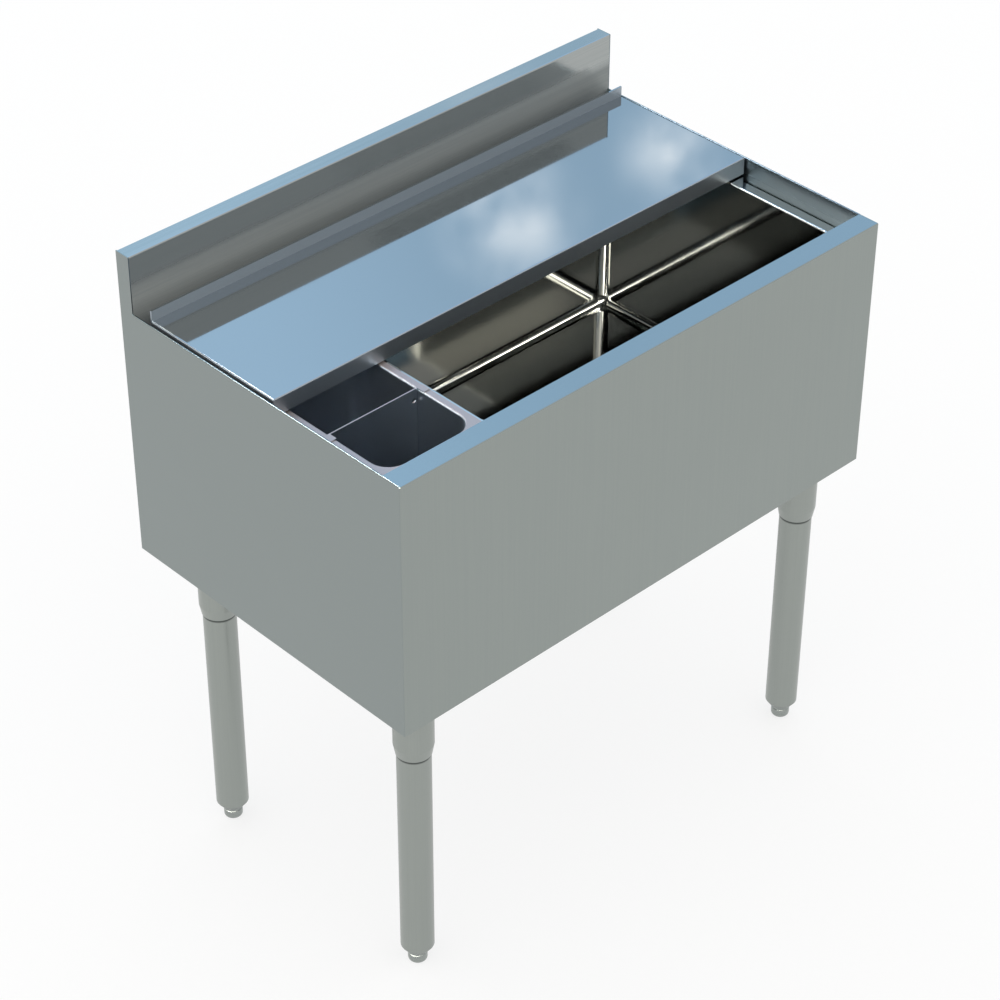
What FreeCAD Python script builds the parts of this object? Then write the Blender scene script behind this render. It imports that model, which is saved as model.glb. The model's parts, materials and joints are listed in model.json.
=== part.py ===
import FreeCAD, Part
import os
import Sketcher

# Underbar ice bin: insulated stainless cabinet on four legs, in millimetres.
# X runs along the front from left to right, Y from front to back, Z up from the floor.

Vector = FreeCAD.Vector
doc = FreeCAD.newDocument("UnderbarIceBin")

# Driving dimensions
SIZES = {
    "overall_width": 762,
    "overall_depth": 470,
    "work_height": 762,
    "apron_height": 344,
    "splash_rise": 76,
    "splash_depth": 22,
    "splash_rear_leg": 96,
    "sheet": 1.2,
    "bend_radius": 2,
    "rail_depth": 29,
    "ledge_drop": 23,
    "hem_thickness": 3,
    "hem_height": 12,
    "hem_round": 1.4,
    "bottom_flange": 13,
    "rear_flange": 20,
    "rear_recess": 2.4,
    "ledge_left": 30,
    "ledge_right": 32,
    "ledge_rear": 29,
    "partition": 13.5,
    "liner_lip": 4,
    "rim_round": 2.5,
    "bin_setback": 45,
    "bin_depth": 271,
    "bin_cove": 13,
    "well_setback": 54,
    "well_width": 127,
    "well_length": 187,
    "well_depth": 230,
    "well_corner": 25,
    "well_cove": 12,
    "divider_setback": 145.5,
    "divider_plate": 1.5,
    "divider_height": 130,
    "divider_tab_reach": 9,
    "divider_tab_width": 12,
    "divider_hole": 3.2,
    "divider_hole_drop": 13,
    "divider_hole_inset": 5,
    "cover_proud": 2,
    "cover_side_gap": 6,
    "cover_rear_gap": 25.5,
    "cover_length": 212.8,
    "cover_lip": 13.5,
    "cover_lip_thickness": 2.4,
    "cover_front_lift": 2.3,
    "cover_lead": 20,
    "running_gap": 0.3,
    "thread_gap": 0.06,
    "slip_gap": 0.1,
    "overcut": 1,
    "leg_inset_side": 54,
    "leg_inset_front": 47,
    "leg_inset_rear": 73,
    "leg_radius": 20.65,
    "leg_wall": 1.2,
    "leg_insertion": 70,
    "socket_drop": 83,
    "socket_radius": 24.25,
    "socket_taper": 14,
    "socket_lip_radius": 21.7,
    "socket_plate": 62,
    "socket_plate_thickness": 3,
    "set_screw_height": 30,
    "set_screw_radius": 3,
    "set_screw_proud": 1,
    "foot_height": 19,
    "foot_radius": 12,
    "foot_round": 4,
    "stem_radius": 8,
    "stem_length": 45,
    "insert_collar": 8,
    "insert_nose_radius": 15,
    "insert_length": 40,
    "channel_width": 66,
    "channel_height": 25,
    "channel_sheet": 2,
    "channel_overhang": 4,
    "bolt_spacing": 48,
    "bolt_radius": 3,
    "bolt_head_radius": 5.5,
    "bolt_head_height": 4,
    "nut_radius": 5.8,
    "nut_height": 5,
    "rear_screw_radius": 2,
    "rear_screw_head_radius": 4.5,
    "rear_screw_head": 2,
    "rear_screw_length": 10,
    "rear_screw_margin": 30,
    "drain_outer": 18,
    "drain_bore": 14,
    "drain_flange_radius": 32,
    "drain_flange": 2,
    "drain_length": 30,
    "strainer_radius": 23.7,
    "strainer_plate": 1.2,
    "strainer_skirt": 8,
    "strainer_wall": 1,
    "strainer_hole": 1.6,
    "strainer_inner_ring": 5,
    "strainer_outer_ring": 9.6,
    "gasket_radius": 29,
    "gasket": 2,
    "locknut_radius": 28.5,
    "locknut": 8,
    "coupling_radius": 26,
    "coupling_grip": 10,
    "coupling_base": 5,
    "tail_collar": 3,
    "tail_neck_radius": 15.5,
    "tail_spigot_radius": 16.7,
    "tail_bore": 12.5,
    "tail_spigot": 44,
    "tail_below_shell": 2,
    "pan_drain_hole": 20,
    "foam_drain_hole": 33,
}

sheet = doc.addObject("Spreadsheet::Sheet", "sizes")
for row, (alias, size) in enumerate(SIZES.items(), start=1):
    sheet.set(f"A{row}", alias)
    sheet.set(f"B{row}", str(size))
    sheet.setAlias(f"B{row}", alias)
doc.recompute()

# Planes that several pieces share, written once
LEFT = "(-sizes.overall_width / 2)"
RIGHT = "(sizes.overall_width / 2)"
FRONT = "(-sizes.overall_depth / 2)"
BACK = "(sizes.overall_depth / 2)"
TOP = "sizes.work_height"
BOTTOM = "(sizes.work_height - sizes.apron_height)"
INSIDE_LEFT = f"({LEFT} + sizes.sheet)"
INSIDE_RIGHT = f"({RIGHT} - sizes.sheet)"
INSIDE_FRONT = f"({FRONT} + sizes.sheet)"
RAIL_BACK = f"({FRONT} + sizes.rail_depth)"
RAIL_LIP = f"({RAIL_BACK} - sizes.sheet)"
SPLASH_TOP = f"({TOP} + sizes.splash_rise)"
SPLASH_FACE = f"({BACK} - sizes.splash_depth)"
SPLASH_BEHIND = f"({SPLASH_FACE} + sizes.sheet)"
RIM = f"({TOP} - sizes.ledge_drop)"
UNDER_RIM = f"({RIM} - sizes.sheet)"
FLANGE_TOP = f"({BOTTOM} + sizes.sheet)"
PAN_TOP = f"({FLANGE_TOP} + sizes.sheet)"
REAR_PANEL_FACE = f"({BACK} - sizes.rear_recess)"
REAR_SEAT = f"({REAR_PANEL_FACE} - sizes.sheet)"
REAR_FLANGE_FACE = f"({REAR_SEAT} - sizes.sheet)"

# The two drawn compartments
WELL_LEFT = f"({LEFT} + sizes.ledge_left)"
WELL_RIGHT = f"({WELL_LEFT} + sizes.well_width)"
WELL_FRONT = f"({FRONT} + sizes.well_setback)"
WELL_BACK = f"({WELL_FRONT} + sizes.well_length)"
WELL_FLOOR = f"({RIM} - sizes.well_depth)"
BIN_LEFT = f"({WELL_RIGHT} + sizes.partition)"
BIN_RIGHT = f"({RIGHT} - sizes.ledge_right)"
BIN_FRONT = f"({FRONT} + sizes.bin_setback)"
BIN_BACK = f"({SPLASH_FACE} - sizes.ledge_rear)"
BIN_FLOOR = f"({RIM} - sizes.bin_depth)"
BIN_UNDER = f"({BIN_FLOOR} - sizes.sheet)"
RIM_SEAM = f"({BIN_LEFT} - sizes.liner_lip)"

NEAR = 0.01
nodes = []


def value(expression):
    """The number that an expression on the sheet gives now."""
    return float(sheet.evalExpression(expression))


def node(piece, label):
    """Name a finished sub-part and keep it for the files."""
    piece.Label = label
    nodes.append(piece)
    return piece


def place(piece, x, y, z):
    for axis, expression in zip("xyz", (x, y, z)):
        piece.setExpression(f"Placement.Base.{axis}", expression)


def block(name, low, high):
    """A box between two corners."""
    box = doc.addObject("Part::Box", name)
    for side, start, end in zip(("Length", "Width", "Height"), low, high):
        box.setExpression(side, f"({end}) - ({start})")
    place(box, *low)
    return box


def rod(name, x, y, low, high, radius):
    """An upright cylinder."""
    cylinder = doc.addObject("Part::Cylinder", name)
    cylinder.setExpression("Radius", radius)
    cylinder.setExpression("Height", f"({high}) - ({low})")
    place(cylinder, x, y, low)
    return cylinder


def rod_along_y(name, x, z, start, end, radius):
    """A cylinder that lies front to back."""
    cylinder = doc.addObject("Part::Cylinder", name)
    cylinder.Placement = FreeCAD.Placement(Vector(), FreeCAD.Rotation(Vector(1, 0, 0), -90))
    cylinder.setExpression("Radius", radius)
    cylinder.setExpression("Height", f"({end}) - ({start})")
    place(cylinder, x, start, z)
    return cylinder


def opening(name, x, y, low, high, radius):
    """An upright cutting cylinder that runs past both faces."""
    return rod(name, x, y, f"{low} - sizes.overcut", f"{high} + sizes.overcut", radius)


def hexagon(name, x, y, low, high, radius):
    """An upright six-sided bar, radius to its corners."""
    prism = doc.addObject("Part::Prism", name)
    prism.Polygon = 6
    prism.setExpression("Circumradius", radius)
    prism.setExpression("Height", f"({high}) - ({low})")
    place(prism, x, y, low)
    return prism


def fuse(name, pieces):
    whole = doc.addObject("Part::MultiFuse", name)
    whole.Shapes = pieces
    whole.Refine = True
    return whole


def group(name, pieces):
    """Separate solids under one name."""
    compound = doc.addObject("Part::Compound", name)
    compound.Links = pieces
    return compound


def cut(name, base, tools):
    result = doc.addObject("Part::Cut", name)
    result.Base = base
    result.Tool = tools[0] if len(tools) == 1 else group(name + "_tools", tools)
    return result


def on_line(x=None, y=None, z=None):
    """A test for edges whose ends all share the given coordinates."""
    wanted = [None if c is None else value(c) for c in (x, y, z)]

    def test(edge):
        ends = [end.Point for end in edge.Vertexes]
        return all(
            w is None or abs(end[i] - w) < NEAR for end in ends for i, w in enumerate(wanted)
        )

    return test


def upright_between(low_x, high_x, low_y, high_y):
    """A test for upright edges within a plan rectangle."""
    x0, x1, y0, y1 = (value(c) for c in (low_x, high_x, low_y, high_y))

    def test(edge):
        first, last = edge.Vertexes[0].Point, edge.Vertexes[-1].Point
        stands = abs(first.x - last.x) < NEAR and abs(first.y - last.y) < NEAR
        within = x0 - NEAR < first.x < x1 + NEAR and y0 - NEAR < first.y < y1 + NEAR
        return stands and within and abs(first.z - last.z) > NEAR

    return test


def matching(piece, tests):
    doc.recompute()
    return [
        number
        for number, edge in enumerate(piece.Shape.Edges, start=1)
        if any(test(edge) for test in tests)
    ]


def rounded(name, piece, radius, tests):
    """Round the bends of a sheet piece."""
    numbers = matching(piece, tests)
    fillet = doc.addObject("Part::Fillet", name)
    fillet.Base = piece
    fillet.Edges = [(number, value(radius), value(radius)) for number in numbers]
    return fillet


def origin_part(body, role):
    return next(part for part in body.Origin.OriginFeatures if part.Role == role)


def outline(body, name, plane, points, lift=None):
    """A closed sketch through corners given as pairs of expressions."""
    sketch = body.newObject("Sketcher::SketchObject", name)
    sketch.AttachmentSupport = (origin_part(body, plane), "")
    sketch.MapMode = "FlatFace"
    if lift:
        sketch.setExpression("AttachmentOffset.Base.z", lift)
    corners = [Vector(value(u), value(v), 0) for u, v in points]
    count = len(corners)
    for i in range(count):
        sketch.addGeometry(Part.LineSegment(corners[i], corners[(i + 1) % count]), False)
    for i in range(count):
        sketch.addConstraint(Sketcher.Constraint("Coincident", i, 2, (i + 1) % count, 1))
    for i, (u, v) in enumerate(points):
        for kind, expression in (("DistanceX", u), ("DistanceY", v)):
            datum = Sketcher.Constraint(kind, -1, 1, i, 1, value(expression))
            number = sketch.addConstraint(datum)
            sketch.setExpression(f"Constraints[{number}]", expression)
    return sketch


def plan(x0, x1, y0, y1):
    return [(x0, y0), (x1, y0), (x1, y1), (x0, y1)]


def pressed(body, kind, sketch, depth):
    """Pad or pocket a plan sketch downwards."""
    feature = body.newObject(f"PartDesign::{kind}", sketch.Name + kind)
    feature.Profile = sketch
    feature.setExpression("Length", depth)
    feature.Reversed = kind == "Pad"
    doc.recompute()
    return feature


def softened(body, feature, name, radius, tests):
    """Round chosen edges of a body's last feature."""
    numbers = matching(feature, tests)
    fillet = body.newObject("PartDesign::Fillet", name)
    fillet.Base = (feature, [f"Edge{number}" for number in numbers])
    fillet.setExpression("Radius", radius)
    doc.recompute()
    return fillet


def turned(name, profile):
    """A round piece from its half profile, as pairs of radius and height."""
    body = doc.addObject("PartDesign::Body", name)
    sketch = outline(body, name + "_profile", "XZ_Plane", profile)
    spin = body.newObject("PartDesign::Revolution", name + "_turn")
    spin.Profile = sketch
    spin.ReferenceAxis = (origin_part(body, "Z_Axis"), [""])
    spin.Angle = 360
    doc.recompute()
    return body


def basin(name, inner, flange, floor, corner, cove):
    """A drawn pan: inner plan rectangle, rim flange rectangle, floor height and its radii."""
    outer = [f"{plane} {sign} sizes.sheet" for plane, sign in zip(inner, "-+-+")]
    body = doc.addObject("PartDesign::Body", name)
    rim = outline(body, name + "_rim", "XY_Plane", plan(*flange), RIM)
    pressed(body, "Pad", rim, "sizes.sheet")
    shell = outline(body, name + "_shell", "XY_Plane", plan(*outer), RIM)
    pressed(body, "Pad", shell, f"{RIM} - {floor} + sizes.sheet")
    hollow = outline(body, name + "_hollow", "XY_Plane", plan(*inner), RIM)
    last = pressed(body, "Pocket", hollow, f"{RIM} - {floor}")
    last = softened(body, last, name + "_corners", corner, [upright_between(*inner)])
    last = softened(body, last, name + "_cove", cove, [on_line(z=floor)])
    under = f"{floor} - sizes.sheet"
    stands = upright_between(*outer)

    def outer_corner(edge):
        return stands(edge) and min(v.Point.z for v in edge.Vertexes) < value(under) + NEAR

    last = softened(body, last, name + "_outer_corners", f"{corner} + sizes.sheet", [outer_corner])
    last = softened(body, last, name + "_outer_cove", f"{cove} + sizes.sheet", [on_line(z=under)])
    mouth = [value(c) for c in inner]

    def rim_edge(edge):
        box = edge.BoundBox
        level = abs(box.ZMin - value(RIM)) < NEAR and abs(box.ZMax - value(RIM)) < NEAR
        inside_x = box.XMin > mouth[0] - NEAR and box.XMax < mouth[1] + NEAR
        inside_y = box.YMin > mouth[2] - NEAR and box.YMax < mouth[3] + NEAR
        return level and inside_x and inside_y

    softened(body, last, name + "_rim_round", "sizes.rim_round", [rim_edge])
    return body


# Screws that hold the rear panel to the side panels' flanges, in two upright rows
REAR_SCREW_ROWS = 4


def rear_screw_row(edge, inward):
    """Places of one row, inward being the sign of X towards the middle of the cabinet."""
    low = f"({PAN_TOP} + sizes.rear_screw_margin)"
    step = f"(({UNDER_RIM} - sizes.rear_screw_margin - {low}) / {REAR_SCREW_ROWS - 1})"
    x = f"({edge} + {inward} * (sizes.sheet + sizes.rear_flange / 2))"
    return [(x, f"({low} + {row} * {step})") for row in range(REAR_SCREW_ROWS)]


LEFT_SCREWS = rear_screw_row(LEFT, 1)
RIGHT_SCREWS = rear_screw_row(RIGHT, -1)


def rear_screw_holes(prefix, places):
    radius = "sizes.rear_screw_radius + sizes.slip_gap"
    tip = f"({REAR_PANEL_FACE} - sizes.rear_screw_length - sizes.running_gap)"
    mouth = f"({REAR_PANEL_FACE} + sizes.overcut)"
    return [
        rod_along_y(f"{prefix}_screw_hole_{i}", x, z, tip, mouth, radius)
        for i, (x, z) in enumerate(places)
    ]


# Front apron: front sheet, top rail, rail lip, corner returns and bottom flange
def front_apron():
    sheets = [
        block("apron_face", (LEFT, FRONT, BOTTOM), (RIGHT, INSIDE_FRONT, TOP)),
        block("apron_rail", (LEFT, FRONT, f"{TOP} - sizes.sheet"), (RIGHT, RAIL_BACK, TOP)),
        block("apron_lip", (INSIDE_LEFT, RAIL_LIP, RIM), (INSIDE_RIGHT, RAIL_BACK, TOP)),
        block("apron_left_return", (LEFT, FRONT, BOTTOM), (INSIDE_LEFT, RAIL_BACK, TOP)),
        block("apron_right_return", (INSIDE_RIGHT, FRONT, BOTTOM), (RIGHT, RAIL_BACK, TOP)),
        block(
            "apron_flange",
            (LEFT, FRONT, BOTTOM),
            (RIGHT, f"{INSIDE_FRONT} + sizes.bottom_flange", FLANGE_TOP),
        ),
    ]
    whole = fuse("apron_sheets", sheets)
    bends = [
        on_line(y=FRONT, z=TOP),
        on_line(x=LEFT, z=TOP),
        on_line(x=RIGHT, z=TOP),
        on_line(x=LEFT, y=FRONT),
        on_line(x=RIGHT, y=FRONT),
    ]
    node(rounded("apron_bends", whole, "sizes.bend_radius", bends), "front_apron")


# Side panel: L-shaped sheet, hemmed top, flanges for the pan and the rear panel
def side_panel(label, outside, inward, screws):
    """inward is the sign of X towards the middle of the cabinet."""

    def across(first, last):
        ends = [f"({outside} + {inward} * {depth})" for depth in (first, last)]
        return ends if inward == 1 else ends[::-1]

    skin = across("0", "sizes.sheet")
    hem = across("0", "sizes.hem_thickness")
    foot = across("0", "(sizes.sheet + sizes.bottom_flange)")
    back = across("0", "(sizes.sheet + sizes.rear_flange)")
    hem_bottom = f"({TOP} - sizes.hem_height)"
    sheets = [
        block(label + "_skin", (skin[0], RAIL_BACK, BOTTOM), (skin[1], BACK, TOP)),
        block(label + "_hem", (hem[0], RAIL_BACK, hem_bottom), (hem[1], SPLASH_FACE, TOP)),
        block(label + "_foot", (foot[0], RAIL_BACK, BOTTOM), (foot[1], BACK, FLANGE_TOP)),
        block(label + "_back", (back[0], REAR_FLANGE_FACE, PAN_TOP), (back[1], REAR_SEAT, UNDER_RIM)),
    ]
    whole = fuse(label + "_sheets", sheets)
    hem_edges = [on_line(x=hem[0], z=TOP), on_line(x=hem[1], z=TOP)]
    hemmed = rounded(label + "_hem_round", whole, "sizes.hem_round", hem_edges)
    tab = block(label + "_tab", (skin[0], SPLASH_FACE, UNDER_RIM), (skin[1], BACK, SPLASH_TOP))
    joined = fuse(label + "_blank", [hemmed, tab])
    node(cut(label, joined, rear_screw_holes(label, screws)), label)


# Backsplash: channel open below, closed at its ends by the side panels' tabs
def backsplash():
    crown = f"({SPLASH_TOP} - sizes.sheet)"
    rear_low = f"({SPLASH_TOP} - sizes.splash_rear_leg)"
    rear_inside = f"({BACK} - sizes.sheet)"
    sheets = [
        block("splash_face", (INSIDE_LEFT, SPLASH_FACE, RIM), (INSIDE_RIGHT, SPLASH_BEHIND, SPLASH_TOP)),
        block("splash_crown", (INSIDE_LEFT, SPLASH_FACE, crown), (INSIDE_RIGHT, BACK, SPLASH_TOP)),
        block("splash_rear", (INSIDE_LEFT, rear_inside, rear_low), (INSIDE_RIGHT, BACK, SPLASH_TOP)),
    ]
    bends = [on_line(y=SPLASH_FACE, z=SPLASH_TOP), on_line(y=BACK, z=SPLASH_TOP)]
    whole = fuse("splash_sheets", sheets)
    node(rounded("splash_bends", whole, "sizes.bend_radius", bends), "backsplash")


# Ice compartment and bottle well
def bin_liner():
    inner = (BIN_LEFT, BIN_RIGHT, BIN_FRONT, BIN_BACK)
    flange = (RIM_SEAM, INSIDE_RIGHT, RAIL_LIP, SPLASH_BEHIND)
    body = basin("liner", inner, flange, BIN_FLOOR, "sizes.bin_cove", "sizes.bin_cove")
    hole_radius = "sizes.drain_outer + sizes.running_gap"
    hole = drain_opening("liner_drain_hole", BIN_UNDER, BIN_FLOOR, hole_radius)
    node(cut("liner_open", body, [hole]), "bin_liner")


def bottle_well():
    inner = (WELL_LEFT, WELL_RIGHT, WELL_FRONT, WELL_BACK)
    flange = (INSIDE_LEFT, RIM_SEAM, RAIL_LIP, SPLASH_BEHIND)
    body = basin("well", inner, flange, WELL_FLOOR, "sizes.well_corner", "sizes.well_cove")
    node(body, "bottle_well")


# Lift-out divider that hangs on the well's rims by two bent tabs
def well_divider():
    face = f"({FRONT} + sizes.divider_setback)"
    behind = f"({face} + sizes.divider_plate)"
    left = f"({WELL_LEFT} + sizes.running_gap)"
    right = f"({WELL_RIGHT} - sizes.running_gap)"
    seat = f"({RIM} + sizes.running_gap)"
    crest = f"({seat} + sizes.sheet)"
    tab_front = f"({behind} - sizes.divider_tab_width)"
    pieces = [
        block("divider_plate", (left, face, f"{RIM} - sizes.divider_height"), (right, behind, crest)),
        block(
            "divider_left_tab",
            (f"{WELL_LEFT} - sizes.divider_tab_reach", tab_front, seat),
            (left, behind, crest),
        ),
        block(
            "divider_right_tab",
            (right, tab_front, seat),
            (f"{WELL_RIGHT} + sizes.divider_tab_reach", behind, crest),
        ),
    ]
    whole = fuse("divider_sheets", pieces)
    hole = rod_along_y(
        "divider_hole",
        f"{right} - sizes.divider_hole_inset",
        f"{RIM} - sizes.divider_hole_drop",
        f"{face} - sizes.overcut",
        f"{behind} + sizes.overcut",
        "sizes.divider_hole",
    )
    node(cut("divider_drilled", whole, [hole]), "well_divider")


# Sliding cover: deck, front hem, side hems that ride on the ledges behind a raised lead, and a
# doubled rear lip whose outer ply runs down as a skirt
def sliding_cover():
    deck = f"({TOP} + sizes.cover_proud)"
    deck_under = f"({deck} - sizes.sheet)"
    back = f"({SPLASH_FACE} - sizes.cover_rear_gap)"
    front = f"({back} - sizes.cover_length)"
    left = f"({LEFT} + sizes.cover_side_gap)"
    right = f"({RIGHT} - sizes.cover_side_gap)"
    left_inner = f"({left} + sizes.sheet)"
    right_inner = f"({right} - sizes.sheet)"
    ride = f"({front} + sizes.cover_lead)"
    runner = f"({RIM} + sizes.running_gap)"
    hem_low = f"({RIM} + sizes.cover_front_lift)"
    lip_top = f"({deck} + sizes.cover_lip)"
    sheets = [
        block("cover_deck", (left, front, deck_under), (right, back, deck)),
        block("cover_front_hem", (left, front, hem_low), (right, f"{front} + sizes.sheet", deck)),
        block("cover_left_lead", (left, front, hem_low), (left_inner, ride, deck)),
        block("cover_right_lead", (right_inner, front, hem_low), (right, ride, deck)),
        block("cover_left_hem", (left, ride, runner), (left_inner, back, deck)),
        block("cover_right_hem", (right_inner, ride, runner), (right, back, deck)),
        block(
            "cover_lip",
            (left, f"{back} - sizes.cover_lip_thickness", deck_under),
            (right, back, lip_top),
        ),
        block("cover_rear_skirt", (left, f"{back} - sizes.sheet", hem_low), (right, back, deck)),
    ]
    whole = fuse("cover_sheets", sheets)
    bends = [on_line(y=front, z=deck), on_line(x=left, z=deck), on_line(x=right, z=deck)]
    node(rounded("cover_bends", whole, "sizes.bend_radius", bends), "sliding_cover")


# Leg positions and heights
LEGS = {
    "front_left": (f"({LEFT} + sizes.leg_inset_side)", f"({FRONT} + sizes.leg_inset_front)"),
    "front_right": (f"({RIGHT} - sizes.leg_inset_side)", f"({FRONT} + sizes.leg_inset_front)"),
    "rear_left": (f"({LEFT} + sizes.leg_inset_side)", f"({BACK} - sizes.leg_inset_rear)"),
    "rear_right": (f"({RIGHT} - sizes.leg_inset_side)", f"({BACK} - sizes.leg_inset_rear)"),
}
TUBE_BOTTOM = "(sizes.foot_height + sizes.insert_collar)"
SOCKET_BOTTOM = f"({BOTTOM} - sizes.socket_drop)"
PLATE_BOTTOM = f"({FLANGE_TOP} - sizes.socket_plate_thickness)"
SOCKET_BORE = "(sizes.leg_radius + sizes.slip_gap)"
CHANNEL_FLOOR = f"({PAN_TOP} + sizes.channel_sheet)"
CHANNEL_TOP = f"({PAN_TOP} + sizes.channel_height)"
CORNER_SIGNS = [(-1, -1), (1, -1), (1, 1), (-1, 1)]


def bolt_places(x, y):
    return [
        (f"({x} + {sx} * sizes.bolt_spacing / 2)", f"({y} + {sy} * sizes.bolt_spacing / 2)")
        for sx, sy in CORNER_SIGNS
    ]


def bolt_holes(prefix, places, low, high):
    radius = "sizes.bolt_radius + sizes.slip_gap"
    return [
        opening(f"{prefix}_hole_{i}", x, y, low, high, radius)
        for i, (x, y) in enumerate(places)
    ]


def leg_socket(corner, x, y):
    """Bolted plate with a tapered sleeve, cross-drilled for the set screw."""
    sleeve = turned(
        f"sleeve_{corner}",
        [
            (SOCKET_BORE, SOCKET_BOTTOM),
            ("sizes.socket_lip_radius", SOCKET_BOTTOM),
            ("sizes.socket_radius", f"{SOCKET_BOTTOM} + sizes.socket_taper"),
            ("sizes.socket_radius", PLATE_BOTTOM),
            (SOCKET_BORE, PLATE_BOTTOM),
        ],
    )
    place(sleeve, x, y, "0")
    half = "sizes.socket_plate / 2"
    plate = block(
        f"plate_{corner}",
        (f"({x} - {half})", f"({y} - {half})", PLATE_BOTTOM),
        (f"({x} + {half})", f"({y} + {half})", FLANGE_TOP),
    )
    whole = fuse(f"socket_whole_{corner}", [sleeve, plate])
    holes = bolt_holes(f"socket_{corner}", bolt_places(x, y), PLATE_BOTTOM, FLANGE_TOP)
    holes.append(
        rod_along_y(
            f"set_screw_hole_{corner}",
            x,
            f"{SOCKET_BOTTOM} + sizes.set_screw_height",
            f"{y} + sizes.leg_radius - sizes.overcut",
            f"{y} + sizes.socket_radius + sizes.overcut",
            "sizes.set_screw_radius + sizes.slip_gap",
        )
    )
    node(cut(f"socket_drilled_{corner}", whole, holes), f"leg_socket_{corner}")


def leg_tube(corner, x, y):
    tube_top = f"{SOCKET_BOTTOM} + sizes.leg_insertion"
    outer = rod(f"tube_outer_{corner}", x, y, TUBE_BOTTOM, tube_top, "sizes.leg_radius")
    inside = "sizes.leg_radius - sizes.leg_wall"
    bore = opening(f"tube_bore_{corner}", x, y, TUBE_BOTTOM, tube_top, inside)
    node(cut(f"tube_{corner}", outer, [bore]), f"leg_tube_{corner}")


def foot_insert(corner, x, y):
    """Threaded plug in the tube's end, with a tapered collar under it."""
    bore = "(sizes.stem_radius + sizes.thread_gap)"
    plug = "(sizes.leg_radius - sizes.leg_wall - sizes.slip_gap)"
    body = turned(
        f"insert_{corner}",
        [
            (bore, "sizes.foot_height"),
            ("sizes.insert_nose_radius", "sizes.foot_height"),
            ("sizes.leg_radius", TUBE_BOTTOM),
            (plug, TUBE_BOTTOM),
            (plug, f"{TUBE_BOTTOM} + sizes.insert_length"),
            (bore, f"{TUBE_BOTTOM} + sizes.insert_length"),
        ],
    )
    place(body, x, y, "0")
    node(body, f"foot_insert_{corner}")


def bullet_foot(corner, x, y):
    """Adjustable foot: a rounded nose on a stem."""
    body = turned(
        f"foot_{corner}",
        [
            ("0", "0"),
            ("sizes.foot_radius", "0"),
            ("sizes.foot_radius", "sizes.foot_height"),
            ("sizes.stem_radius", "sizes.foot_height"),
            ("sizes.stem_radius", "sizes.foot_height + sizes.stem_length"),
            ("0", "sizes.foot_height + sizes.stem_length"),
        ],
    )
    softened(body, body.Tip, f"foot_nose_{corner}", "sizes.foot_round", [round_base])
    place(body, x, y, "0")
    node(body, f"bullet_foot_{corner}")


def round_base(edge):
    """True for the circle round the underside of a turned piece."""
    return abs(edge.BoundBox.ZMax) < NEAR and edge.BoundBox.XMax > value("sizes.foot_radius") / 2


def leg_fasteners():
    bolts = []
    nuts = []
    screws = []
    head_low = f"({PLATE_BOTTOM} - sizes.bolt_head_height)"
    nut_top = f"({CHANNEL_FLOOR} + sizes.nut_height)"
    for corner, (x, y) in LEGS.items():
        for i, at in enumerate(bolt_places(x, y)):
            tag = f"{corner}_{i}"
            head = hexagon(f"bolt_head_{tag}", *at, head_low, PLATE_BOTTOM, "sizes.bolt_head_radius")
            shank = rod(f"bolt_shank_{tag}", *at, PLATE_BOTTOM, nut_top, "sizes.bolt_radius")
            bolts.append(fuse(f"bolt_{tag}", [head, shank]))
            blank = hexagon(f"nut_blank_{tag}", *at, CHANNEL_FLOOR, nut_top, "sizes.nut_radius")
            thread = bolt_holes(f"nut_{tag}", [at], CHANNEL_FLOOR, nut_top)
            nuts.append(cut(f"nut_{tag}", blank, thread))
        screws.append(
            rod_along_y(
                f"set_screw_{corner}",
                x,
                f"{SOCKET_BOTTOM} + sizes.set_screw_height",
                f"({y} + {SOCKET_BORE})",
                f"({y} + sizes.socket_radius + sizes.set_screw_proud)",
                "sizes.set_screw_radius",
            )
        )
    node(group("bolt_set", bolts), "socket_bolts")
    node(group("nut_set", nuts), "channel_nuts")
    node(group("set_screw_set", screws), "socket_set_screws")


def leg_channel(side):
    """Upward-open channel that ties a front leg and a rear leg together inside the shell."""
    x, front_y = LEGS[f"front_{side}"]
    rear_y = LEGS[f"rear_{side}"][1]
    reach = "(sizes.socket_plate / 2 + sizes.channel_overhang)"
    start = f"({front_y} - {reach})"
    end = f"({rear_y} + {reach})"
    left = f"({x} - sizes.channel_width / 2)"
    right = f"({x} + sizes.channel_width / 2)"
    left_inside = f"({left} + sizes.channel_sheet)"
    right_inside = f"({right} - sizes.channel_sheet)"
    sheets = [
        block(f"channel_web_{side}", (left, start, PAN_TOP), (right, end, CHANNEL_FLOOR)),
        block(f"channel_left_{side}", (left, start, PAN_TOP), (left_inside, end, CHANNEL_TOP)),
        block(f"channel_right_{side}", (right_inside, start, PAN_TOP), (right, end, CHANNEL_TOP)),
    ]
    places = bolt_places(x, front_y) + bolt_places(x, rear_y)
    holes = bolt_holes(f"channel_{side}", places, PAN_TOP, CHANNEL_FLOOR)
    whole = fuse(f"channel_sheets_{side}", sheets)
    node(cut(f"channel_{side}", whole, holes), f"leg_channel_{side}")


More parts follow.
